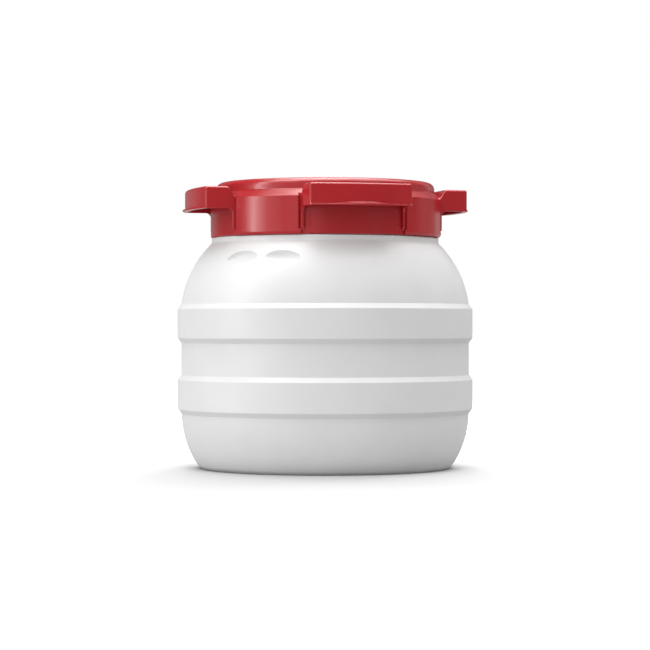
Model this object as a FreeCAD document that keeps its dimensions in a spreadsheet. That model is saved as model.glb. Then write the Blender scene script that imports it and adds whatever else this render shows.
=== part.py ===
"""Wide-neck plastic fermenting drum with a four-winged screw lid.

Frame: millimetres, +Z up, origin on the drum's axis at the level of its foot.
Front is -Y; +X is to the right of someone who looks at the front.
Moulded features are drawn along +X and then turned to their places round the axis.
"""
import FreeCAD, Part
import math
import os
import Sketcher

from FreeCAD import Placement, Rotation, Vector

# ------------------------------------------------------------------ driving dimensions
DIMENSIONS = [
    # drum: barrel
    ("body_radius", 127.7, "barrel wall between the hoops"),
    ("hoop_radius", 131.0, "crest of both hoops"),
    ("hoop_bevel", 4.2, "height of a hoop's upper or lower bevel"),
    ("lower_hoop_bottom", 48.4, "start of the lower hoop"),
    ("lower_hoop_top", 82.8, "end of the lower hoop"),
    ("upper_hoop_bottom", 111.0, "start of the upper hoop"),
    ("upper_hoop_top", 145.2, "end of the upper hoop"),
    ("hoop_edge_round", 1.0, "radius along the hoops' edges"),
    ("wall", 2.2, "blow-moulded wall"),
    ("flank_radius", 81.5, "curve of the barrel's foot"),
    ("foot_radius", 107.5, "outer edge of the ring that the drum stands on"),
    ("foot_edge_radius", 113.3, "where the foot's round meets the flank"),
    ("foot_edge_height", 3.07, "height of that line"),
    ("foot_round", 7.0, "round under the flank"),
    ("recess_radius", 98.4, "stacking recess in the base"),
    ("recess_depth", 6.0, "depth of the stacking recess"),
    ("recess_round", 2.0, "round where the recess's side meets its ceiling"),
    ("recess_lean", 2.2, "how far the recess's side leans outwards"),
    ("ring_round", 1.5, "round of the standing ring's inner edge"),
    ("base_wall", 2.6, "wall over the recess"),
    # drum: shoulder, neck and mouth
    ("shoulder_radius", 93.0, "curve of the domed shoulder"),
    ("shoulder_end_radius", 102.4, "shoulder where it meets the collar"),
    ("shoulder_end_height", 197.4, "height of that line"),
    ("shoulder_fillet", 3.2, "hollow round between shoulder and collar"),
    ("collar_radius", 100.8, "collar under the lid"),
    ("collar_bottom", 199.6, "foot of the collar"),
    ("collar_top", 203.7, "top face of the collar"),
    ("collar_round", 0.8, "rounds of the collar's top"),
    ("neck_radius", 96.5, "neck between the thread's turns"),
    ("neck_wall", 2.4, "wall of the neck"),
    ("neck_top", 237.0, "mouth land, which seals on the gasket"),
    ("mouth_round", 1.2, "round of the mouth's outer edge"),
    ("land_radius", 93.0, "inner edge of the mouth land"),
    ("land_depth", 3.2, "thickness of the mouth land"),
    # thumb recesses in the shoulder
    ("dent_azimuth", -28.8, "middle of the web, in degrees from the front towards +X"),
    ("dent_spread", 8.7, "each recess's middle from the web's, in degrees"),
    ("dent_height", 185.6, "height of the recesses' middles"),
    ("dent_centre_radius", 113.9, "cutter's middle from the axis"),
    ("dent_length", 18.6, "half length of the cutter"),
    ("dent_width", 7.0, "half width of the cutter"),
    ("dent_thickness", 6.0, "half thickness of the cutter"),
    ("dent_tilt", 53.0, "slope of the shoulder there, in degrees"),
    ("dent_yaw", 9.0, "how far each recess dives towards the web, in degrees"),
    # thread, right-handed
    ("pitch", 12.0, "rise in one turn"),
    ("turns", 1.75, "length of both threads in turns"),
    ("neck_thread_start", 209.0, "middle of the neck's thread where it starts"),
    ("neck_thread_crest", 99.1, "outer radius of the neck's thread"),
    ("neck_thread_root_width", 6.0, "axial width at the neck"),
    ("thread_crest_width", 3.0, "axial width of both threads' crests"),
    ("thread_gap", 4.6, "lid's thread below the neck's, middle to middle"),
    ("lid_thread_crest", 97.0, "inner radius of the lid's thread"),
    ("lid_thread_root_width", 5.5, "axial width at the skirt"),
    ("lid_thread_turn", 84.0, "where the lid's thread starts, in degrees"),
    # lid: shell
    ("lid_bottom", 204.1, "lower edge of the skirt"),
    ("skirt_inner_radius", 99.6, "bore of the skirt"),
    ("skirt_foot_radius", 101.6, "skirt at its lower edge, with the draft"),
    ("skirt_radius", 101.9, "skirt at the shoulder"),
    ("skirt_foot_round", 1.0, "round of the skirt's lower edge"),
    ("skirt_entry_height", 0.9, "height of the chamfer at the bore's mouth"),
    ("skirt_entry_depth", 0.6, "depth of that chamfer"),
    ("skirt_top", 238.94, "end of the skirt, where it slopes in to the shoulder"),
    ("shoulder_level", 241.9, "flat shoulder between skirt and rim"),
    ("shoulder_underside", 239.4, "seat of the gasket"),
    ("shoulder_flat_radius", 99.0, "outer edge of the flat shoulder"),
    ("shoulder_edge_round", 0.5, "round of that edge"),
    ("rim_radius", 97.1, "outer wall of the stacking rim"),
    ("rim_top", 252.5, "top of the stacking rim"),
    ("rim_round", 5.8, "round of the rim's outer edge"),
    ("rim_inner_radius", 84.0, "inner wall of the stacking rim"),
    ("rim_inner_round", 2.6, "round of the rim's inner edge"),
    ("rim_wall", 3.0, "wall of the rim"),
    ("rim_bore", 93.4, "outer wall of the hollow under the rim"),
    ("centre_level", 243.5, "sunken middle of the lid"),
    ("centre_wall", 3.0, "thickness of the sunken middle"),
    ("step_radius", 62.0, "raised disc in the sunken middle"),
    ("step_height", 0.9, "height of that disc"),
    ("foot_rim_round", 1.5, "fillet round the foot of the rim"),
    ("sink_round", 2.0, "rounds inside the rim, above and below the middle"),
    # lid: raised wall panels between the wings
    ("panel_radius", 104.2, "face of the raised panels"),
    ("panel_top", 236.7, "top edge of the panels' face"),
    ("panel_edge_round", 1.0, "round along the panels' edges"),
    ("panel_bevel_height", 2.2, "height of the bevel at the panels' lower edge"),
    ("panel_bevel_depth", 1.2, "depth of that bevel"),
    ("groove_width", 1.2, "groove between a wing's side and the panel"),
    ("groove_bottom", 208.4, "where that groove ends"),
    # lid: wings
    ("wing_azimuth", 15.0, "first wing, in degrees from the front towards +X"),
    ("wing_count", 4, "wings round the lid"),
    ("wing_half_width", 46.0, "wing's half width at the skirt"),
    ("wing_tip_half_width", 44.9, "wing's half width at its outer face"),
    ("wing_corner_reach", 118.0, "outer corners from the axis, along the wing"),
    ("wing_reach", 122.4, "middle of the outer face from the axis"),
    ("wing_corner_round", 2.4, "round of the outer corners"),
    ("wing_top", 246.2, "top of the wing"),
    ("wing_bottom", 227.2, "lower edge of the wing"),
    ("wing_edge_round", 2.0, "round of the wing's top edges"),
    ("wing_wall", 2.3, "wall of the wing"),
    ("slope_top_reach", 97.8, "top of the slope towards the rim"),
    ("slope_foot_reach", 93.2, "foot of the slope"),
    ("slope_foot_height", 239.2, "height of the slope's foot"),
    ("slope_end_reach", 90.0, "valley's end, inside the shoulder"),
    ("slope_head_round", 2.6, "round at the slope's top"),
    ("slope_foot_round", 3.6, "hollow round at the slope's foot"),
    ("rib_reach", 94.4, "outer edge of the ribs under the wing's sides"),
    ("rib_bottom", 207.4, "lower end of the ribs"),
    ("rib_bevel", 2.9, "height of the bevel at the ribs' lower end"),
    ("rib_bevel_depth", 2.6, "depth of that bevel"),
    ("rib_edge_round", 0.6, "round along the ribs' outer edges"),
    ("rib_fillet", 4.5, "fillet from a rib to the wing's lower edge"),
    ("lip_radius", 126.7, "flared lip at the wing's lower edge"),
    ("lip_thickness", 1.5, "thickness of the lip's edge"),
    ("lip_round", 0.6, "rounds of the lip's edge"),
    ("lip_flare", 3.0, "hollow round over the lip"),
    ("lip_full_half_width", 38.0, "half width over which the lip is at its full reach"),
    ("lip_end_reach", 122.0, "lip's ends from the axis, at that half width"),
    ("lip_corner_radius", 10.0, "curve of the lip's ends"),
    ("rim_rib_count", 24, "ribs in the hollow under the rim"),
    ("rim_rib_thickness", 1.6, "thickness of those ribs"),
    # gasket and grommet
    ("gasket_inner_radius", 93.6, "bore of the gasket"),
    ("gasket_outer_radius", 99.2, "rim of the gasket"),
    ("gasket_chamfer", 0.6, "chamfers of the gasket's upper edges"),
    ("grommet_reach", 38.0, "grommet's axis from the drum's axis"),
    ("grommet_bore", 4.75, "bore for the stem of an airlock"),
    ("grommet_neck", 6.35, "neck, which fits the hole in the lid"),
    ("grommet_flange", 9.5, "both flanges"),
    ("grommet_flange_height", 2.0, "thickness of each flange"),
    ("grommet_flange_round", 0.9, "round of the flanges' rims"),
    ("grommet_chamfer", 0.5, "chamfers of the bore's ends"),
]

doc = FreeCAD.newDocument("fermenting_drum")
sheet = doc.addObject("Spreadsheet::Sheet", "Dimensions")
for row, (alias, number, note) in enumerate(DIMENSIONS, start=1):
    sheet.set(f"A{row}", alias)
    sheet.set(f"B{row}", str(number))
    sheet.set(f"C{row}", note)
    sheet.setAlias(f"B{row}", alias)
doc.recompute()


class Size:
    """A number together with the sheet expression that gives it."""

    def __init__(self, number, text):
        self.number = number
        self.text = text

    @staticmethod
    def of(other):
        if isinstance(other, Size):
            return other
        return Size(float(other), repr(float(other)))

    def _join(self, other, sign, number):
        return Size(number, f"({self.text} {sign} {Size.of(other).text})")

    def __add__(self, other):
        return self._join(other, "+", self.number + Size.of(other).number)

    def __sub__(self, other):
        return self._join(other, "-", self.number - Size.of(other).number)

    def __mul__(self, other):
        return self._join(other, "*", self.number * Size.of(other).number)

    def __truediv__(self, other):
        return self._join(other, "/", self.number / Size.of(other).number)

    def __neg__(self):
        return Size(-self.number, f"(0 - {self.text})")


def size(alias):
    """The sheet's dimension of that name."""
    return Size(float(sheet.get(alias)), f"Dimensions.{alias}")


# ------------------------------------------------------------------ drawing helpers
def origin_feature(body, role):
    """A body's own plane or axis, found by its role."""
    return [item for item in body.Origin.OriginFeatures if item.Role == role][0]


def new_body(name):
    body = doc.addObject("PartDesign::Body", name)
    body.Label = name
    return body


def new_sketch(body, name, plane):
    sketch = body.newObject("Sketcher::SketchObject", name)
    sketch.AttachmentSupport = [(origin_feature(body, plane), "")]
    sketch.MapMode = "FlatFace"
    return sketch


def arc_between(start, end, radius, turn):
    """The short arc from start to end: turn 1 runs counterclockwise, -1 clockwise."""
    chord = end - start
    rise = math.sqrt(max(radius**2 - (chord.Length / 2) ** 2, 0.0))
    across = Vector(-chord.y, chord.x, 0) / chord.Length
    centre = start + chord / 2 + across * (rise * turn)
    angles = [math.atan2(point.y - centre.y, point.x - centre.x) for point in (start, end)]
    if turn < 0:
        angles.reverse()
    return Part.ArcOfCircle(Part.Circle(centre, Vector(0, 0, 1), radius), *angles)


def bend(before, corner, after, radius):
    """The two corners of a round of that radius, where an outline turns at a corner."""
    radius = Size.of(radius)
    points = [Vector(Size.of(u).number, Size.of(v).number, 0) for u, v in (before, corner, after)]
    back = (points[0] - points[1]).normalize()
    onward = (points[2] - points[1]).normalize()
    reach = radius.number / math.tan(back.getAngle(onward) / 2)
    turn = 1 if back.cross(onward).z < 0 else -1
    u, v = Size.of(corner[0]), Size.of(corner[1])
    return [
        (u + back.x * reach, v + back.y * reach, radius, turn),
        (u + onward.x * reach, v + onward.y * reach),
    ]


def pin_to_sheet(sketch, edge, end, axis, length):
    """Tie one coordinate of a corner to the sheet."""
    if abs(length.number) < 1e-9:
        sketch.addConstraint(Sketcher.Constraint("PointOnObject", edge, end, -2 if axis == "X" else -1))
        return
    index = sketch.addConstraint(
        Sketcher.Constraint(f"Distance{axis}", -1, 1, edge, end, length.number)
    )
    sketch.setExpression(f"Constraints[{index}]", length.text)


def closed_outline(sketch, corners):
    """Draw corners (u, v) as a closed outline.

    A corner (u, v, radius, turn) is left along an arc of that radius.
    """
    corners = [tuple(corner) + (None, 0) * (len(corner) == 2) for corner in corners]
    points = [Vector(Size.of(c[0]).number, Size.of(c[1]).number, 0) for c in corners]
    ends = []
    for index, corner in enumerate(corners):
        start, end = points[index], points[(index + 1) % len(points)]
        if corner[2] is None:
            edge = sketch.addGeometry(Part.LineSegment(start, end), False)
            ends.append((edge, 1, 2))
            continue
        radius, turn = Size.of(corner[2]), corner[3]
        edge = sketch.addGeometry(arc_between(start, end, radius.number, turn), False)
        ends.append((edge, 1, 2) if turn > 0 else (edge, 2, 1))
        constraint = sketch.addConstraint(Sketcher.Constraint("Radius", edge, radius.number))
        sketch.setExpression(f"Constraints[{constraint}]", radius.text)
    for index, (edge, first, last) in enumerate(ends):
        after, after_first, _ = ends[(index + 1) % len(ends)]
        sketch.addConstraint(Sketcher.Constraint("Coincident", edge, last, after, after_first))
        pin_to_sheet(sketch, edge, first, "X", Size.of(corners[index][0]))
        pin_to_sheet(sketch, edge, first, "Y", Size.of(corners[index][1]))


def turned(name, corners):
    """A body turned round the Z axis from an outline of (radius, height) corners."""
    body = new_body(name)
    sketch = new_sketch(body, name + "_outline", "XZ_Plane")
    closed_outline(sketch, corners)
    feature = body.newObject("PartDesign::Revolution", name + "_turned")
    feature.Profile = sketch
    feature.ReferenceAxis = (sketch, ["V_Axis"])
    feature.Angle = 360
    body.Tip = feature
    return body


def padded(name, plane, corners, length, symmetric):
    """A body padded from an outline on one of its own planes."""
    body = new_body(name)
    sketch = new_sketch(body, name + "_outline", plane)
    closed_outline(sketch, corners)
    feature = body.newObject("PartDesign::Pad", name + "_pad")
    feature.Profile = sketch
    feature.SideType = "Symmetric" if symmetric else "One side"
    feature.setExpression("Length", Size.of(length).text)
    body.Tip = feature
    return body


def round_edges(body, name, radius, chosen):
    """Fillet the edges of the body's tip that the test picks."""
    doc.recompute()
    tip = body.Tip
    names = [f"Edge{i}" for i, edge in enumerate(tip.Shape.Edges, start=1) if chosen(edge)]
    feature = body.newObject("PartDesign::Fillet", name)
    feature.Base = (tip, names)
    feature.setExpression("Radius", Size.of(radius).text)
    body.Tip = feature
    return names


def add_thread(body, name, corners, turns):
    """A helical ridge round the Z axis, swept from an outline on the XZ plane."""
    doc.recompute()
    sketch = new_sketch(body, name + "_outline", "XZ_Plane")
    closed_outline(sketch, corners)
    feature = body.newObject("PartDesign::AdditiveHelix", name)
    feature.Profile = sketch
    feature.ReferenceAxis = (sketch, ["V_Axis"])
    feature.Mode = "pitch-turns-angle"
    feature.setExpression("Pitch", size("pitch").text)
    feature.setExpression("Turns", Size.of(turns).text)
    feature.LeftHanded = False
    body.Tip = feature
    return feature


def cut(name, base, tool):
    feature = doc.addObject("Part::Cut", name)
    feature.Base = base
    feature.Tool = tool
    feature.Refine = False
    return feature


def common(name, base, tool):
    feature = doc.addObject("Part::Common", name)
    feature.Base = base
    feature.Tool = tool
    return feature


def fused(name, shapes):
    feature = doc.addObject("Part::MultiFuse", name)
    feature.Shapes = shapes
    feature.Refine = False
    return feature


# ------------------------------------------------------------------ drum
def drum_outline(inset, bottom, top_corners):
    """Half section of the barrel, drawn inset from its outer wall."""
    body_radius = size("body_radius") - inset
    hoop_radius = size("hoop_radius") - inset
    bevel = size("hoop_bevel")
    shoulder = size("shoulder_radius") - inset
    flank = size("flank_radius") - inset
    corners = list(bottom)
    corners += [
        (body_radius, size("lower_hoop_bottom")),
        (hoop_radius, size("lower_hoop_bottom") + bevel),
        (hoop_radius, size("lower_hoop_top") - bevel),
        (body_radius, size("lower_hoop_top")),
        (body_radius, size("upper_hoop_bottom")),
        (hoop_radius, size("upper_hoop_bottom") + bevel),
        (hoop_radius, size("upper_hoop_top") - bevel),
        (body_radius, size("upper_hoop_top"), shoulder, 1),
    ]
    return corners + top_corners


def hoop_edge(edge):
    """The outline's corners where a hoop's bevels start and end."""
    centre_height = edge.BoundBox.ZMin
    flat = edge.BoundBox.ZLength < 1e-6
    radius = edge.BoundBox.XMax
    on_hoop = size("lower_hoop_bottom").number < centre_height < size("upper_hoop_top").number - 1
    return flat and on_hoop and radius > size("body_radius").number - 0.01


recess_radius = size("recess_radius")
recess_depth = size("recess_depth")
recess_round = size("recess_round")
recess_edge = recess_radius + size("recess_lean")
ring_round = size("ring_round")
collar_radius = size("collar_radius")
collar_top = size("collar_top")
collar_round = size("collar_round")
neck_radius = size("neck_radius")
neck_top = size("neck_top")
mouth_round = size("mouth_round")
shoulder_fillet = size("shoulder_fillet")

drum_outside = turned(
    "drum_outside",
    drum_outline(
        Size.of(0),
        [
            (0, recess_depth),
            (recess_radius - recess_round, recess_depth, recess_round, -1),
            (recess_radius, recess_depth - recess_round),
            (recess_edge, ring_round, ring_round, 1),
            (recess_edge + ring_round, 0),
            (size("foot_radius"), 0, size("foot_round"), 1),
            (size("foot_edge_radius"), size("foot_edge_height"), size("flank_radius"), 1),
        ],
        [
            (size("shoulder_end_radius"), size("shoulder_end_height"), shoulder_fillet, -1),
            (collar_radius, size("collar_bottom")),
            (collar_radius, collar_top - collar_round, collar_round, 1),
            (collar_radius - collar_round, collar_top),
            (neck_radius + collar_round, collar_top, collar_round, -1),
            (neck_radius, collar_top + collar_round),
            (neck_radius, neck_top - mouth_round, mouth_round, 1),
            (neck_radius - mouth_round, neck_top),
            (0, neck_top),
        ],
    ),
)
round_edges(drum_outside, "hoop_rounds", size("hoop_edge_round"), hoop_edge)

# The cavity runs one wall inside all that, and past the mouth.
wall = size("wall")
slanted_wall = wall * math.sqrt(0.5)
cavity_floor = recess_depth + size("base_wall")
cavity_round = recess_round + 1
ring_inside = recess_radius + wall
ring_floor = ring_inside + ring_round
foot_slant = wall / size("foot_round")
neck_bore = neck_radius - size("neck_wall")
land_radius = size("land_radius")
land_underside = neck_top - size("land_depth")
past_mouth = neck_top + 5
cavity_outline = drum_outline(
    wall,
    [
        (0, cavity_floor),
        (ring_inside - cavity_round, cavity_floor, cavity_round, -1),
        (ring_inside, cavity_floor - cavity_round),
        (ring_floor, wall + collar_round, collar_round, 1),
        (ring_floor + collar_round, wall),
        (size("foot_radius"), wall, size("foot_round") - wall, 1),
        (
            size("foot_edge_radius") - foot_slant * (size("foot_edge_radius") - size("foot_radius")),
            size("foot_edge_height") + foot_slant * (size("foot_round") - size("foot_edge_height")),
            size("flank_radius") - wall,
            1,
        ),
    ],
    [
        (
            size("shoulder_end_radius") - slanted_wall,
            size("shoulder_end_height") - slanted_wall,
            shoulder_fillet + wall,
            -1,
        ),
        (collar_radius - wall, size("collar_bottom")),
        (collar_radius - wall, collar_top - wall),
        (neck_bore, collar_top + collar_round / 2),
        (neck_bore, land_underside - (neck_bore - land_radius)),
        (land_radius, land_underside),
        (land_radius, past_mouth),
        (0, past_mouth),
    ],
)
drum_cavity = turned("drum_cavity", cavity_outline)


def dent_cutter(name, side, growth):
    """One thumb recess: an ellipsoid sunk in the shoulder, diving towards the web.

    side is -1 left of the web and 1 right of it; growth makes the cutter that keeps the wall.
    """
    cutter = doc.addObject("Part::Ellipsoid", name)
    cutter.setExpression("Radius1", (size("dent_thickness") + growth).text)
    cutter.setExpression("Radius2", (size("dent_width") + growth).text)
    cutter.setExpression("Radius3", (size("dent_length") + growth).text)
    cutter.Angle1 = -90
    cutter.Angle2 = 90
    cutter.Angle3 = 360
    lean = Rotation(Vector(0, 1, 0), size("dent_tilt").number)
    yaw = Rotation(Vector(1, 0, 0), -side * size("dent_yaw").number)
    azimuth = size("dent_azimuth").number + side * size("dent_spread").number
    turn = Rotation(Vector(0, 0, 1), azimuth - 90)
    place = Vector(size("dent_centre_radius").number, 0, size("dent_height").number)
    cutter.Placement = Placement(turn.multVec(place), turn.multiply(lean).multiply(yaw))
    return cutter


outside, cavity = drum_outside, drum_cavity
for side, word in ((-1, "left"), (1, "right")):
    outside = cut(f"outside_{word}_dent", outside, dent_cutter(f"dent_{word}", side, Size.of(0)))
    cavity = cut(f"cavity_{word}_dent", cavity, dent_cutter(f"dent_{word}_grown", side, wall))
drum_shell = cut("drum_shell", outside, cavity)


def thread_outline(root, crest, middle, root_width):
    """A thread's section: radii of its root and crest, its middle height and its width at the root."""
    crest_width = size("thread_crest_width")
    corners = [
        (root, middle - root_width / 2),
        (crest, middle - crest_width / 2),
        (crest, middle + crest_width / 2),
        (root, middle + root_width / 2),
    ]
    return corners if root.number < crest.number else corners[::-1]


# Threads are sunk a little into the wall that carries them.
THREAD_SINK = 0.4
neck_thread = new_body("neck_thread")
add_thread(
    neck_thread,
    "neck_thread_ridge",
    thread_outline(
        neck_radius - THREAD_SINK,
        size("neck_thread_crest"),
        size("neck_thread_start"),
        size("neck_thread_root_width"),
    ),
    size("turns"),
)
drum_body = fused("drum_body", [drum_shell, neck_thread])


# ------------------------------------------------------------------ lid
rim_radius = size("rim_radius")
rim_top = size("rim_top")
rim_round = size("rim_round")
rim_inner = size("rim_inner_radius")
rim_inner_round = size("rim_inner_round")
rim_wall = size("rim_wall")
rim_bore = size("rim_bore")
rim_ceiling = rim_top - rim_wall
rim_fillet = size("foot_rim_round")
sink_round = size("sink_round")
lid_bottom = size("lid_bottom")
skirt_inner = size("skirt_inner_radius")
skirt_foot = size("skirt_foot_radius")
skirt_radius = size("skirt_radius")
skirt_foot_round = size("skirt_foot_round")
shoulder_level = size("shoulder_level")
shoulder_flat = size("shoulder_flat_radius")
centre_level = size("centre_level")
centre_underside = centre_level - size("centre_wall")
step_radius = size("step_radius")
step_height = size("step_height")
shoulder_edge = bend(
    (skirt_radius, size("skirt_top")),
    (shoulder_flat, shoulder_level),
    (rim_radius, shoulder_level),
    size("shoulder_edge_round"),
)

lid_shell = turned(
    "lid_shell",
    [
        (0, centre_underside),
        (rim_inner + rim_wall, centre_underside),
        (rim_inner + rim_wall, rim_ceiling - sink_round, sink_round, -1),
        (rim_inner + rim_wall + sink_round, rim_ceiling),
        (rim_bore - rim_wall, rim_ceiling, rim_wall, -1),
        (rim_bore, rim_ceiling - rim_wall),
        (rim_bore, size("shoulder_underside")),
        (skirt_inner, size("shoulder_underside")),
        (skirt_inner, lid_bottom + size("skirt_entry_height")),
        (skirt_inner + size("skirt_entry_depth"), lid_bottom),
        (skirt_foot - skirt_foot_round, lid_bottom, skirt_foot_round, 1),
        (skirt_foot, lid_bottom + skirt_foot_round),
        (skirt_radius, size("skirt_top")),
        *shoulder_edge,
        (rim_radius + rim_fillet, shoulder_level, rim_fillet, -1),
        (rim_radius, shoulder_level + rim_fillet),
        (rim_radius, rim_top - rim_round, rim_round, 1),
        (rim_radius - rim_round, rim_top),
        (rim_inner + rim_inner_round, rim_top, rim_inner_round, 1),
        (rim_inner, rim_top - rim_inner_round),
        (rim_inner, centre_level + sink_round, sink_round, -1),
        (rim_inner - sink_round, centre_level),
        (step_radius + step_height, centre_level),
        (step_radius, centre_level + step_height),
        (0, centre_level + step_height),
    ],
)

# The panels reach into the skirt that they stand on, and slope in to the edge of the shoulder.
panel_radius = size("panel_radius")
panel_top = size("panel_top")
panel_round = size("panel_edge_round")
panel_root = skirt_radius - 1.2
slope_start = shoulder_edge[0][:2]
panel_edge = bend((panel_radius, lid_bottom), (panel_radius, panel_top), slope_start, panel_round)
panel_ring = turned(
    "panel_ring",
    [
        (panel_root, lid_bottom),
        (panel_radius - size("panel_bevel_depth"), lid_bottom),
        (panel_radius, lid_bottom + size("panel_bevel_height")),
        *panel_edge,
        slope_start,
        (panel_root, size("skirt_top")),
    ],
)


def slab(name, half_width, low, high):
    """A box across one wing's place, from inside the skirt outwards."""
    inner_end = size("rim_inner_radius")
    box = doc.addObject("Part::Box", name)
    box.setExpression("Length", (past_lip - inner_end).text)
    box.setExpression("Width", (half_width * 2).text)
    box.setExpression("Height", (high - low).text)
    box.setExpression("Placement.Base.x", inner_end.text)
    box.setExpression("Placement.Base.y", (-half_width).text)
    box.setExpression("Placement.Base.z", low.text)
    return box


# Cutters run this far past what they cut.
PAST = 5
below_lid = lid_bottom - PAST
above_lid = rim_top + PAST
past_lip = size("lip_radius") + PAST
wing_half_width = size("wing_half_width")
across_wing = wing_half_width * 2 + PAST * 2

wing_place = slab("wing_place", wing_half_width, below_lid, above_lid)
groove_place = slab(
    "groove_place", wing_half_width + size("groove_width"), size("groove_bottom"), above_lid
)
wing_gap = fused("wing_gap", [wing_place, groove_place])

# One wing, drawn along +X.  Side view: rib, lower edge, outer side, top, slope and valley.
wing_top = size("wing_top")
wing_bottom = size("wing_bottom")
rib_reach = size("rib_reach")
rib_bottom = size("rib_bottom")
rib_fillet = size("rib_fillet")
slope_end = size("slope_end_reach")
slope_foot = (size("slope_foot_reach"), size("slope_foot_height"))
slope_head = (size("slope_top_reach"), wing_top)
valley_fall = math.tan(math.radians(20))
valley_end = (slope_end, slope_foot[1] - (slope_foot[0] - slope_end) * valley_fall)
wing_side = padded(
    "wing_side",
    "XZ_Plane",
    [
        (slope_end, rib_bottom),
        (rib_reach - size("rib_bevel_depth"), rib_bottom),
        (rib_reach, rib_bottom + size("rib_bevel")),
        (rib_reach, wing_bottom - rib_fillet, rib_fillet, -1),
        (rib_reach + rib_fillet, wing_bottom),
        (past_lip, wing_bottom),
        (past_lip, wing_top),
        *bend((past_lip, wing_top), slope_head, slope_foot, size("slope_head_round")),
        *bend(slope_head, slope_foot, valley_end, size("slope_foot_round")),
        valley_end,
    ],
    across_wing,
    True,
)


def wing_plan_corners(inset):
    """The wing from above: two sides that close in slightly and a bowed outer face."""
    root = wing_half_width - inset
    tip = size("wing_tip_half_width") - inset
    corner = size("wing_corner_reach") - inset
    middle = size("wing_reach") - inset
    bow = middle.number - corner.number
    half_chord = tip.number
    face_radius = Size.of((half_chord**2 + bow**2) / (2 * bow))
    return [
        (slope_end, -root),
        (corner, -tip, face_radius, 1),
        (corner, tip),
        (slope_end, root),
    ]


def upright_corner(reach, half_width):
    """Test for the wing's two upright outer corners."""

    def chosen(edge):
        box = edge.BoundBox
        return (
            box.XLength < 0.01
            and box.YLength < 0.01
            and abs(box.XMin - reach.number) < 0.5
            and abs(abs(box.YMin) - half_width.number) < 0.5
        )

    return chosen


wing_plan = padded("wing_plan", "XY_Plane", wing_plan_corners(Size.of(0)), above_lid, False)
round_edges(
    wing_plan,
    "wing_corner_rounds",
    size("wing_corner_round"),
    upright_corner(size("wing_corner_reach"), size("wing_tip_half_width")),
)
wing_block = common("wing_block", wing_side, wing_plan)


def fillets(name, base, rounds):
    """Part::Fillet of a shape; rounds lists (radius, test for an edge)."""
    doc.recompute()
    feature = doc.addObject("Part::Fillet", name)
    feature.Base = base
    picked = []
    for index, edge in enumerate(base.Shape.Edges, start=1):
        for radius, chosen in rounds:
            if chosen(edge.BoundBox):
                picked.append((index, radius.number, radius.number))
                break
    feature.Edges = picked
    return feature


def on_wing_side(box):
    """An edge that lies along one of the wing's two sides."""
    least = min(abs(box.YMin), abs(box.YMax))
    return least > size("wing_tip_half_width").number - 0.3 and box.YMin * box.YMax > 0


def top_edge(box):
    """The rim of the wing's top face and of the slope behind it."""
    top = size("wing_top").number
    along_side = on_wing_side(box) and box.ZMin > size("slope_foot_height").number - 3 and box.XLength > 0.5
    return along_side or (box.ZMin > top - 0.01 and box.XMax > size("wing_corner_reach").number)


def rib_edge(box):
    """The ribs' outer edges and the lower edges of the wing's sides."""
    low = box.ZMax < size("wing_bottom").number + 0.1
    return on_wing_side(box) and low and box.XMin > size("slope_end_reach").number + 1.3


wing_rounded = fillets(
    "wing_rounded",
    wing_block,
    [(size("wing_edge_round"), top_edge), (size("rib_edge_round"), rib_edge)],
)

# The wing stands on the outside of the skirt and of the rim.
core_skirt = skirt_inner + 1
core_rim = rim_radius - 1
core_step = shoulder_level - 1.2
lid_core = turned(
    "lid_core",
    [
        (0, below_lid),
        (core_skirt, below_lid),
        (core_skirt, core_step),
        (core_rim, core_step),
        (core_rim, above_lid),
        (0, above_lid),
    ],
)

# It is hollow: the pocket leaves one wall all round and opens downwards.
wing_wall = size("wing_wall")
pocket_top = wing_top - wing_wall
pocket_head = slope_head[0] + wing_wall
pocket_foot = (slope_foot[0] + wing_wall, slope_foot[1] - wing_wall)
pocket_side = padded(
    "pocket_side",
    "XZ_Plane",
    [
        (slope_end, below_lid),
        (past_lip, below_lid),
        (past_lip, pocket_top),
        (pocket_head, pocket_top),
        pocket_foot,
        (slope_end, valley_end[1] - wing_wall),
    ],
    across_wing,
    True,
)
pocket_plan = padded("pocket_plan", "XY_Plane", wing_plan_corners(wing_wall), above_lid, False)
skirt_cylinder = doc.addObject("Part::Cylinder", "skirt_cylinder")
skirt_cylinder.setExpression("Radius", skirt_radius.text)
skirt_cylinder.setExpression("Height", above_lid.text)
pocket_block = common("pocket_block", pocket_side, pocket_plan)
pocket = cut("pocket", pocket_block, skirt_cylinder)

# The flared lip runs along the wing's lower edge and fades out at its corners.
lip_radius = size("lip_radius")
lip_round = size("lip_round")
lip_flare = size("lip_flare")
lip_top = wing_bottom + size("lip_thickness")
lip_root = size("wing_corner_reach") - 4
lip_face = size("wing_reach") - 0.3
lip_ring = turned(
    "lip_ring",
    [
        (lip_root, wing_bottom),
        (lip_radius - lip_round, wing_bottom, lip_round, 1),
        (lip_radius, wing_bottom + lip_round),
        (lip_radius, lip_top - lip_round, lip_round, 1),
        (lip_radius - lip_round, lip_top),
        (lip_face + lip_flare, lip_top, lip_flare, -1),
        (lip_face, lip_top + lip_flare),
        (lip_root, lip_top + lip_flare),
    ],
)
lip_end = size("lip_end_reach")
lip_full = size("lip_full_half_width")
lip_corner = size("wing_corner_reach") - 1
lip_corner_radius = size("lip_corner_radius")
lip_run_out = lip_full - 8
wing_tip = size("wing_tip_half_width")
lip_plan = padded(
    "lip_plan",
    "XY_Plane",
    [
        (lip_root, -wing_tip),
        (lip_corner, -wing_tip, lip_corner_radius, 1),
        (lip_end, -lip_full),
        (past_lip, -lip_run_out),
        (past_lip, lip_run_out),
        (lip_end, lip_full, lip_corner_radius, 1),
        (lip_corner, wing_tip),
        (lip_root, wing_tip),
    ],
    above_lid,
    False,
)
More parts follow.
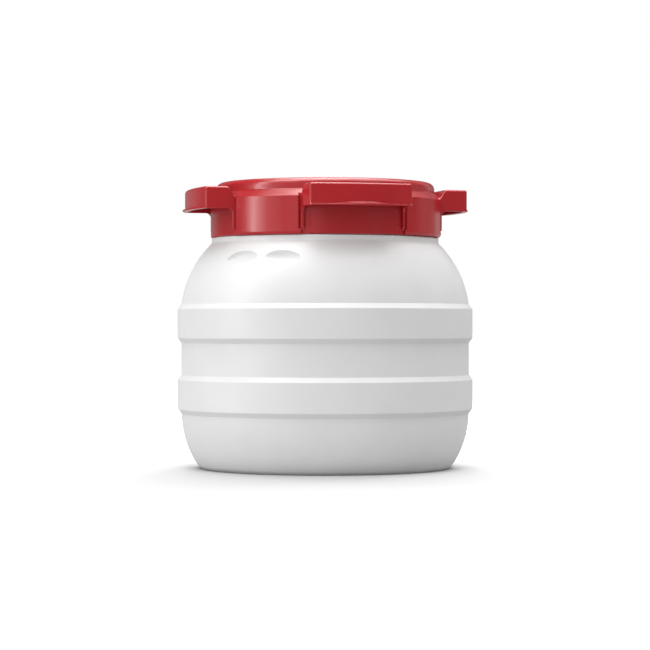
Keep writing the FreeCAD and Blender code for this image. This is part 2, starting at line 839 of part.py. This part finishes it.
lip = common("lip", lip_ring, lip_plan)
wing_on_skirt = cut("wing_on_skirt", wing_rounded, lid_core)
wing_with_lip = fused("wing_with_lip", [wing_on_skirt, lip])
wing = cut("wing", wing_with_lip, pocket)


def turned_copy(name, source, angle):
    """A linked copy of a feature, turned round the drum's axis."""
    copy = doc.addObject("App::Link", name)
    copy.LinkedObject = source
    copy.LinkTransform = True
    copy.Placement = Placement(Vector(0, 0, 0), Rotation(Vector(0, 0, 1), angle))
    return copy


wing_count = int(size("wing_count").number)
first_wing = size("wing_azimuth").number - 90
wing_angles = [first_wing + 360 * i / wing_count for i in range(wing_count)]
wings = [turned_copy(f"wing_{i + 1}", wing, angle) for i, angle in enumerate(wing_angles)]
gaps = [turned_copy(f"wing_gap_{i + 1}", wing_gap, angle) for i, angle in enumerate(wing_angles)]
all_gaps = fused("all_gaps", gaps)
panels = cut("panels", panel_ring, all_gaps)


def panel_end(box):
    """The upright edges at the ends of the raised panels' faces."""
    upright = box.XLength < 0.02 and box.YLength < 0.02 and box.ZLength > 5
    reach = math.hypot(box.XMin, box.YMin)
    return upright and abs(reach - panel_radius.number) < 0.05


panels_rounded = fillets("panels_rounded", panels, [(panel_round, panel_end)])

lid_thread = new_body("lid_thread")
lid_thread_turn = size("lid_thread_turn")
add_thread(
    lid_thread,
    "lid_thread_ridge",
    thread_outline(
        skirt_inner + THREAD_SINK,
        size("lid_thread_crest"),
        size("neck_thread_start") - size("thread_gap") + size("pitch") * lid_thread_turn / 360,
        size("lid_thread_root_width"),
    ),
    size("turns"),
)
lid_thread.Placement = Placement(Vector(0, 0, 0), Rotation(Vector(0, 0, 1), lid_thread_turn.number))

# Ribs in the hollow under the rim reach into the walls on both sides.
RIB_SINK = 0.5
rim_ribs = []
rib_count = int(size("rim_rib_count").number)
rib_thickness = size("rim_rib_thickness")
rib_inner = rim_inner + rim_wall - RIB_SINK
rib_base = centre_level + RIB_SINK
for index in range(rib_count):
    rib = doc.addObject("Part::Box", f"rim_rib_{index + 1}")
    rib.setExpression("Length", (rim_bore + RIB_SINK - rib_inner).text)
    rib.setExpression("Width", rib_thickness.text)
    rib.setExpression("Height", (rim_ceiling + RIB_SINK - rib_base).text)
    turn = Rotation(Vector(0, 0, 1), 360 * (index + 0.5) / rib_count)
    corner = Vector(rib_inner.number, -rib_thickness.number / 2, rib_base.number)
    rib.Placement = Placement(turn.multVec(corner), turn)
    rim_ribs.append(rib)

lid_with_panels = fused("lid_with_panels", [lid_shell, panels_rounded])
lid_with_wings = fused("lid_with_wings", [lid_with_panels] + wings)
lid_with_ribs = fused("lid_with_ribs", [lid_with_wings] + rim_ribs)
lid_blank = fused("lid_blank", [lid_with_ribs, lid_thread])
grommet_hole = doc.addObject("Part::Cylinder", "grommet_hole")
grommet_hole.setExpression("Radius", size("grommet_neck").text)
grommet_hole.setExpression("Height", above_lid.text)
grommet_hole.setExpression("Placement.Base.x", size("grommet_reach").text)
screw_lid = cut("screw_lid", lid_blank, grommet_hole)

# ------------------------------------------------------------------ gasket and grommet
gasket_inner = size("gasket_inner_radius")
gasket_outer = size("gasket_outer_radius")
gasket_top = size("shoulder_underside")
gasket_chamfer = size("gasket_chamfer")
lid_gasket = turned(
    "lid_gasket",
    [
        (gasket_inner, neck_top),
        (gasket_outer, neck_top),
        (gasket_outer, gasket_top - gasket_chamfer),
        (gasket_outer - gasket_chamfer, gasket_top),
        (gasket_inner + gasket_chamfer, gasket_top),
        (gasket_inner, gasket_top - gasket_chamfer),
    ],
)

bore = size("grommet_bore")
bore_chamfer = size("grommet_chamfer")
grommet_neck = size("grommet_neck")
flange = size("grommet_flange")
flange_round = size("grommet_flange_round")
seat_low = centre_underside
seat_high = centre_level + step_height
grommet_low = seat_low - size("grommet_flange_height")
grommet_high = seat_high + size("grommet_flange_height")
airlock_grommet = turned(
    "airlock_grommet",
    [
        (bore, grommet_low + bore_chamfer),
        (bore + bore_chamfer, grommet_low),
        (flange - flange_round, grommet_low, flange_round, 1),
        (flange, grommet_low + flange_round),
        (flange, seat_low),
        (grommet_neck, seat_low),
        (grommet_neck, seat_high),
        (flange, seat_high),
        (flange, grommet_high - flange_round, flange_round, 1),
        (flange - flange_round, grommet_high),
        (bore + bore_chamfer, grommet_high),
        (bore, grommet_high - bore_chamfer),
    ],
)
airlock_grommet.setExpression("Placement.Base.x", size("grommet_reach").text)

# ------------------------------------------------------------------ check and write
PARTS = {
    "drum_body": drum_body,
    "screw_lid": screw_lid,
    "lid_gasket": lid_gasket,
    "airlock_grommet": airlock_grommet,
}
doc.recompute()
for item in doc.Objects:
    if "Invalid" in item.State or "Error" in item.State:
        raise RuntimeError(f"{item.Name} failed: {item.State}")
for node, item in PARTS.items():
    item.Label = node
    if item.Shape.isNull() or not item.Shape.isValid() or len(item.Shape.Solids) != 1:
        raise RuntimeError(f"{node} is not one valid solid")

os.makedirs("parts", exist_ok=True)
for node, item in PARTS.items():
    item.Shape.exportStep(f"parts/{node}.step")
    box = item.Shape.optimalBoundingBox()
    spans = [(box.XMin, box.XMax), (box.YMin, box.YMax), (box.ZMin, box.ZMax)]
    print(f"{node}: {item.Shape.Volume / 1000:.1f} cm3,", ", ".join(f"{a:.2f} to {b:.2f}" for a, b in spans))
brimful = cavity.Shape.common(Part.makeCylinder(size("hoop_radius").number, neck_top.number)).Volume
print(f"brimful volume {brimful / 1e6:.2f} litres")
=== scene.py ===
"""Looks of a wide-neck plastic fermenting drum with a red winged screw lid.

Metres, +Z up, origin on the drum's axis at the level of its foot, front at -Y.
"""

import math

import bpy
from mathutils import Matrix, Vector

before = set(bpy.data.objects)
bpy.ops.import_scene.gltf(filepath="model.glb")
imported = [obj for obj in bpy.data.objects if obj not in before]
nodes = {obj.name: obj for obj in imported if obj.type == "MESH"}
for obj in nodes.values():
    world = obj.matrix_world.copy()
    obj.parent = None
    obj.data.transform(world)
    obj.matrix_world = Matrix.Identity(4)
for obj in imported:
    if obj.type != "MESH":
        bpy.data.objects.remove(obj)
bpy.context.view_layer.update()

MM = 0.001


# ------------------------------------------------------------------ material graphs
class Graph:
    """A material's node tree, with short calls for the nodes used here."""

    def __init__(self, name):
        self.material = bpy.data.materials.new(name)
        self.material.use_nodes = True
        self.tree = self.material.node_tree
        self.tree.nodes.clear()
        self.output = self.node("ShaderNodeOutputMaterial")
        self.coords = self.node("ShaderNodeTexCoord")

    def node(self, kind, **settings):
        item = self.tree.nodes.new(kind)
        for key, value in settings.items():
            setattr(item, key, value)
        return item

    def link(self, source, target):
        self.tree.links.new(source, target)

    def noise(self, scale, detail=2.0, roughness=0.5, stretch=(1, 1, 1)):
        """Noise in the object's own coordinates; scale is in features per metre."""
        mapping = self.node("ShaderNodeMapping")
        mapping.inputs["Scale"].default_value = stretch
        self.link(self.coords.outputs["Object"], mapping.inputs["Vector"])
        texture = self.node("ShaderNodeTexNoise")
        texture.inputs["Scale"].default_value = scale
        texture.inputs["Detail"].default_value = detail
        texture.inputs["Roughness"].default_value = roughness
        self.link(mapping.outputs["Vector"], texture.inputs["Vector"])
        return texture.outputs["Fac"]

    def ramp(self, value, stops):
        """A colour ramp; stops lists (position, colour)."""
        ramp = self.node("ShaderNodeValToRGB")
        while len(ramp.color_ramp.elements) < len(stops):
            ramp.color_ramp.elements.new(0.5)
        for element, (position, colour) in zip(ramp.color_ramp.elements, stops):
            element.position = position
            element.color = (*colour, 1)
        self.link(value, ramp.inputs["Fac"])
        return ramp.outputs["Color"]

    def span(self, value, low, high, to_low, to_high, smooth=False):
        """Map value from low..high to to_low..to_high, clamped."""
        item = self.node("ShaderNodeMapRange", clamp=True)
        if smooth:
            item.interpolation_type = "SMOOTHSTEP"
        for socket, number in zip(("From Min", "From Max", "To Min", "To Max"), (low, high, to_low, to_high)):
            item.inputs[socket].default_value = number
        self.link(value, item.inputs["Value"])
        return item.outputs["Result"]

    def maths(self, operation, *values):
        item = self.node("ShaderNodeMath", operation=operation)
        for socket, value in zip(item.inputs, values):
            if isinstance(value, (int, float)):
                socket.default_value = value
            else:
                self.link(value, socket)
        return item.outputs["Value"]

    def axes(self):
        item = self.node("ShaderNodeSeparateXYZ")
        self.link(self.coords.outputs["Object"], item.inputs["Vector"])
        return item.outputs["X"], item.outputs["Y"], item.outputs["Z"]

    def bump(self, layers):
        """Stack bumps; layers lists (height value, depth in metres)."""
        normal = None
        for height, depth in layers:
            item = self.node("ShaderNodeBump")
            item.inputs["Strength"].default_value = 1.0
            item.inputs["Distance"].default_value = depth
            self.link(height, item.inputs["Height"])
            if normal is not None:
                self.link(normal, item.inputs["Normal"])
            normal = item.outputs["Normal"]
        return normal

    def plastic(self, colour, roughness, normal, **constants):
        shader = self.node("ShaderNodeBsdfPrincipled")
        self.link(colour, shader.inputs["Base Color"])
        self.link(roughness, shader.inputs["Roughness"])
        self.link(normal, shader.inputs["Normal"])
        for socket, value in constants.items():
            shader.inputs[socket.replace("_", " ")].default_value = value
        self.link(shader.outputs["BSDF"], self.output.inputs["Surface"])
        return self.material


def white_polyethylene():
    """Blow-moulded drum wall: satin, slightly wavy, with the mould's parting line."""
    graph = Graph("white_polyethylene")
    x, y, z = graph.axes()
    cloud = graph.noise(22, 3, 0.5)
    colour = graph.ramp(cloud, [(0.30, (0.801, 0.799, 0.799)), (0.70, (0.839, 0.837, 0.837))])
    smear = graph.noise(140, 4, 0.6, stretch=(1, 1, 0.35))
    roughness = graph.span(smear, 0.3, 0.7, 0.38, 0.52)
    seam = graph.span(graph.maths("ABSOLUTE", y), 0.10 * MM, 0.55 * MM, 1.0, 0.0, smooth=True)
    outside = graph.span(z, 203 * MM, 204 * MM, 1.0, 0.0)
    seam = graph.maths("MULTIPLY", seam, outside)
    normal = graph.bump(
        [
            (graph.noise(34, 1, 0.4), 0.30 * MM),
            (graph.noise(900, 2, 0.5), 0.012 * MM),
            (seam, 0.16 * MM),
        ]
    )
    return graph.plastic(colour, roughness, normal, IOR=1.5, Subsurface_Weight=0.12,
                         Subsurface_Scale=0.006, Subsurface_Radius=(1.0, 0.95, 0.9))


def red_polypropylene():
    """Injection-moulded lid: fine spark-eroded texture under a soft gloss."""
    graph = Graph("red_polypropylene")
    cloud = graph.noise(30, 3, 0.55)
    colour = graph.ramp(cloud, [(0.30, (0.455, 0.0150, 0.0200)), (0.70, (0.500, 0.0175, 0.0230))])
    smear = graph.noise(60, 2, 0.5)
    roughness = graph.span(smear, 0.3, 0.7, 0.232, 0.250)
    normal = graph.bump([(graph.noise(45, 1, 0.4), 0.06 * MM)])
    return graph.plastic(colour, roughness, normal, IOR=1.5)


def rubber(name, dark, light, rough, peel):
    """Moulded rubber: matt, with a faint dusty bloom."""
    graph = Graph(name)
    colour = graph.ramp(graph.noise(260, 4, 0.6), [(0.35, dark), (0.70, light)])
    roughness = graph.span(graph.noise(500, 3, 0.5), 0.3, 0.7, rough - 0.08, rough + 0.08)
    normal = graph.bump([(graph.noise(1800, 2, 0.6), peel)])
    return graph.plastic(colour, roughness, normal, IOR=1.45)


LOOKS = {
    "drum_body": white_polyethylene(),
    "screw_lid": red_polypropylene(),
    "lid_gasket": rubber("gasket_rubber", (0.56, 0.54, 0.50), (0.64, 0.62, 0.58), 0.55, 0.02 * MM),
    "airlock_grommet": rubber(
        "grommet_rubber", (0.012, 0.012, 0.013), (0.030, 0.030, 0.032), 0.50, 0.02 * MM
    ),
}
for node, look in LOOKS.items():
    for material_slot in nodes[node].material_slots:
        material_slot.material = look


# ------------------------------------------------------------------ stage, lights and camera
# Most strengths in this section weren't chosen by hand. Least-squares fits in a separate program gave
# FLOOR_ALBEDO, DOME_UP, DOME_DOWN, GLOSS_UP, the first six lobes, the four floor panels and twelve of the
# softboxes, rounded here to about three digits. The last three lobes, FLOOR_GLOW, GLOSS_DOWN and the other
# six softboxes (strip_left_30, strip_left_10, strip_right_105, strip_right_140, left_overhead and
# back_right_overhead) were set or changed after that.
FLOOR_REACH = 30.0
FLOOR_ALBEDO = 0.395
FLOOR_GLOW = 0.42
GLOW_NEAR = 0.4
GLOW_FAR = 1.0
SHADE_RADIUS = 0.125
SHADE_DEPTH = 0.5 * MM
SHADE_ALBEDO = 0.2
SHADE_ROUGHNESS = 0.95
SHADE_SIDES = 96


def floor_paper():
    """A plain lit floor, with a glow that rises away from the drum and keeps it pale to the horizon."""
    graph = Graph("floor_paper")
    diffuse = graph.node("ShaderNodeBsdfDiffuse")
    diffuse.inputs["Color"].default_value = (FLOOR_ALBEDO, FLOOR_ALBEDO, FLOOR_ALBEDO, 1)
    away = graph.node("ShaderNodeVectorMath", operation="LENGTH")
    graph.link(graph.coords.outputs["Object"], away.inputs[0])
    emission = graph.node("ShaderNodeEmission")
    emission.inputs["Color"].default_value = (1, 1, 1, 1)
    glow = graph.span(away.outputs["Value"], GLOW_NEAR, GLOW_FAR, 0.0, FLOOR_GLOW, smooth=True)
    graph.link(glow, emission.inputs["Strength"])
    both = graph.node("ShaderNodeAddShader")
    graph.link(diffuse.outputs["BSDF"], both.inputs[0])
    graph.link(emission.outputs["Emission"], both.inputs[1])
    graph.link(both.outputs["Shader"], graph.output.inputs["Surface"])
    return graph.material


def shaded_paper():
    """A dark sheet below the floor that stands in for the shaded floor close under the drum: painted shade on
    the drum's foot.
    """
    graph = Graph("shaded_paper")
    shader = graph.node("ShaderNodeBsdfPrincipled")
    shader.inputs["Base Color"].default_value = (SHADE_ALBEDO, SHADE_ALBEDO, SHADE_ALBEDO, 1)
    shader.inputs["Roughness"].default_value = SHADE_ROUGHNESS
    graph.link(shader.outputs["BSDF"], graph.output.inputs["Surface"])
    return graph.material


def stage_sheet(name, corners, material):
    """One flat face of the stage, hidden from glossy rays."""
    mesh = bpy.data.meshes.new(name)
    mesh.from_pydata(corners, [], [tuple(range(len(corners)))])
    mesh.materials.append(material)
    sheet = bpy.data.objects.new(name, mesh)
    sheet.visible_glossy = False
    bpy.context.scene.collection.objects.link(sheet)
    return sheet


floor = stage_sheet(
    "floor",
    [(x * FLOOR_REACH, y * FLOOR_REACH, 0) for x, y in ((-1, -1), (1, -1), (1, 1), (-1, 1))],
    floor_paper(),
)
floor.visible_diffuse = False
floor.visible_shadow = False

# The lights pass through the floor, so this disc, which the camera can't see, darkens the drum's foot.
angles = [math.tau * side / SHADE_SIDES for side in range(SHADE_SIDES)]
shade = stage_sheet(
    "floor_shade",
    [(SHADE_RADIUS * math.cos(angle), SHADE_RADIUS * math.sin(angle), -SHADE_DEPTH) for angle in angles],
    shaded_paper(),
)
shade.visible_camera = False


def direction(azimuth, elevation):
    """A unit vector; azimuth in degrees from the front towards +X."""
    turn, lift = math.radians(azimuth), math.radians(elevation)
    return Vector((math.sin(turn) * math.cos(lift), -math.cos(turn) * math.cos(lift), math.sin(lift)))


# The studio: an even dome with broad soft lobes of light for diffuse rays, and a plain dome for glossy ones.
DOME_UP = 0.384
DOME_DOWN = 0.532
GLOSS_UP = 0.0
GLOSS_DOWN = 0.5
# Each lobe: azimuth, elevation, sharpness, strength.
LOBES = [
    (0, 90, 4, 2.09),
    (-50, 15, 4, 1.08),
    (-130, 10, 4, 0.548),
    (180, 55, 8, 1.28),
    (-40, 60, 8, 0.0941),
    (-40, 50, 20, 0.296),
    (110, 30, 12, 1.15),
    (130, 50, 12, 0.45),
    (-130, 50, 12, 0.3),
]


def studio_world():
    world = bpy.data.worlds.new("studio")
    bpy.context.scene.world = world
    world.cycles.sampling_method = "NONE"
    world.use_nodes = True
    tree = world.node_tree
    tree.nodes.clear()

    def maths(operation, *values):
        item = tree.nodes.new("ShaderNodeMath")
        item.operation = operation
        for socket, value in zip(item.inputs, values):
            if isinstance(value, (int, float)):
                socket.default_value = value
            else:
                tree.links.new(value, socket)
        return item.outputs["Value"]

    coords = tree.nodes.new("ShaderNodeTexCoord").outputs["Generated"]
    split = tree.nodes.new("ShaderNodeSeparateXYZ")
    tree.links.new(coords, split.inputs["Vector"])

    def dome(down, up):
        """Even light from below and from above the horizon."""
        blend = tree.nodes.new("ShaderNodeMapRange")
        blend.interpolation_type = "SMOOTHSTEP"
        for socket, value in zip(("From Min", "From Max", "To Min", "To Max"), (-0.15, 0.15, down, up)):
            blend.inputs[socket].default_value = value
        tree.links.new(split.outputs["Z"], blend.inputs["Value"])
        return blend.outputs["Result"]

    total = dome(DOME_DOWN, DOME_UP)
    for azimuth, elevation, sharpness, strength in LOBES:
        dot = tree.nodes.new("ShaderNodeVectorMath")
        dot.operation = "DOT_PRODUCT"
        tree.links.new(coords, dot.inputs[0])
        dot.inputs[1].default_value = direction(azimuth, elevation)
        facing = maths("MAXIMUM", dot.outputs["Value"], 0.0)
        lobe = maths("MULTIPLY", maths("POWER", facing, sharpness), strength)
        total = maths("ADD", total, lobe)
    path = tree.nodes.new("ShaderNodeLightPath")
    glossy = path.outputs["Is Glossy Ray"]
    for_diffuse = maths("MULTIPLY", total, maths("SUBTRACT", 1.0, glossy))
    for_glossy = maths("MULTIPLY", dome(GLOSS_DOWN, GLOSS_UP), glossy)
    strength = maths("ADD", for_diffuse, for_glossy)
    lit = tree.nodes.new("ShaderNodeBackground")
    lit.inputs["Color"].default_value = (1, 1, 1, 1)
    tree.links.new(strength, lit.inputs["Strength"])
    seen = tree.nodes.new("ShaderNodeBackground")
    seen.inputs["Color"].default_value = (1, 1, 1, 1)
    mix = tree.nodes.new("ShaderNodeMixShader")
    tree.links.new(path.outputs["Is Camera Ray"], mix.inputs["Fac"])
    tree.links.new(lit.outputs["Background"], mix.inputs[1])
    tree.links.new(seen.outputs["Background"], mix.inputs[2])
    output = tree.nodes.new("ShaderNodeOutputWorld")
    tree.links.new(mix.outputs["Shader"], output.inputs["Surface"])


studio_world()

TARGET = Vector((0, 0, 0.14))


def panel(name, shape, azimuth, elevation, distance, power):
    """An area light aimed at the drum."""
    away = direction(azimuth, elevation)
    data = bpy.data.lights.new(name, "AREA")
    data.shape = shape
    data.energy = power
    light = bpy.data.objects.new(name, data)
    light.location = TARGET + away * distance
    light.rotation_euler = away.to_track_quat("Z", "Y").to_euler()
    bpy.context.scene.collection.objects.link(light)
    return light


def softbox(name, azimuth, elevation, distance, width, height, power):
    """A panel that shows in glossy surfaces only, and only on the first surface that the camera sees."""
    light = panel(name, "RECTANGLE", azimuth, elevation, distance, power)
    light.data.size = width
    light.data.size_y = height
    light.data.cycles.max_bounces = 0
    light.visible_diffuse = False


# Each panel: name, azimuth, elevation, distance, width, height, power.
SOFTBOXES = [
    ("strip_left_64", -64, 17, 1.5, 0.32, 1.1, 3.06),
    ("strip_left_48", -48, 17, 1.5, 0.32, 1.1, 0.912),
    ("strip_left_30", -30, 17, 1.5, 0.32, 1.1, 0.7),
    ("strip_left_10", -10, 17, 1.5, 0.32, 1.1, 0.5),
    ("strip_right_50", 50, 17, 1.5, 0.32, 1.1, 0.176),
    ("strip_right_105", 105, 17, 1.5, 0.32, 1.1, 0.3),
    ("strip_right_140", 140, 17, 1.5, 0.32, 1.1, 0.3),
    ("overhead", 0, 90, 1.5, 0.7, 0.7, 14.8),
    ("front_overhead", 0, 62, 1.5, 0.7, 0.7, 2.92),
    ("left_overhead", -60, 60, 1.5, 0.7, 0.7, 12),
    ("right_overhead", 60, 60, 1.5, 0.7, 0.7, 3.81),
    ("back_right_overhead", 120, 60, 1.5, 0.7, 0.7, 6),
    ("backdrop", 180, 20, 1.5, 3, 2, 3.61),
    ("right_back_panel", 125, 20, 1.5, 0.9, 1.5, 0.759),
    ("key_strip", -72, 17, 1.5, 0.16, 1.1, 5.77),
    ("small_overhead", 0, 76, 1.5, 0.5, 0.5, 1.1),
    ("wide_overhead", 0, 90, 1.5, 1.6, 1.6, 9.5),
    ("rear_overhead", 180, 68, 1.5, 0.9, 0.9, 12.6),
]
for settings in SOFTBOXES:
    softbox(*settings)

floor_only = bpy.data.collections.new("floor_only")
floor_only.objects.link(floor)


def floor_panel(name, azimuth, elevation, distance, size, power):
    """A soft panel that lights the floor alone, where the drum casts its shadow."""
    light = panel(name, "DISK", azimuth, elevation, distance, power)
    light.data.size = size
    light.visible_glossy = False
    light.light_linking.receiver_collection = floor_only


# Each panel: name, azimuth, elevation, distance, size, power.
FLOOR_PANELS = [
    ("floor_back", 180, 30, 1.5, 1.0, 27.4),
    ("floor_back_left", -140, 40, 1.5, 1.0, 11.9),
    ("floor_back_right", 140, 40, 1.5, 1.0, 17.3),
    ("floor_front", 0, 50, 1.5, 1.0, 14.2),
]
for settings in FLOOR_PANELS:
    floor_panel(*settings)

CAMERA_ASIDE = -0.10 * MM
CAMERA_AWAY = 1.995
CAMERA_HEIGHT = 0.1268
CAMERA_LENS = 124.06
SENSOR_WIDTH = 36.0
camera_data = bpy.data.cameras.new("camera")
camera_data.lens = CAMERA_LENS
camera_data.sensor_width = SENSOR_WIDTH
camera = bpy.data.objects.new("camera", camera_data)
camera.location = (CAMERA_ASIDE, -CAMERA_AWAY, CAMERA_HEIGHT)
camera.rotation_euler = (math.radians(90), 0, 0)
bpy.context.scene.collection.objects.link(camera)
bpy.context.scene.camera = camera
bpy.context.scene.view_settings.view_transform = "Standard"
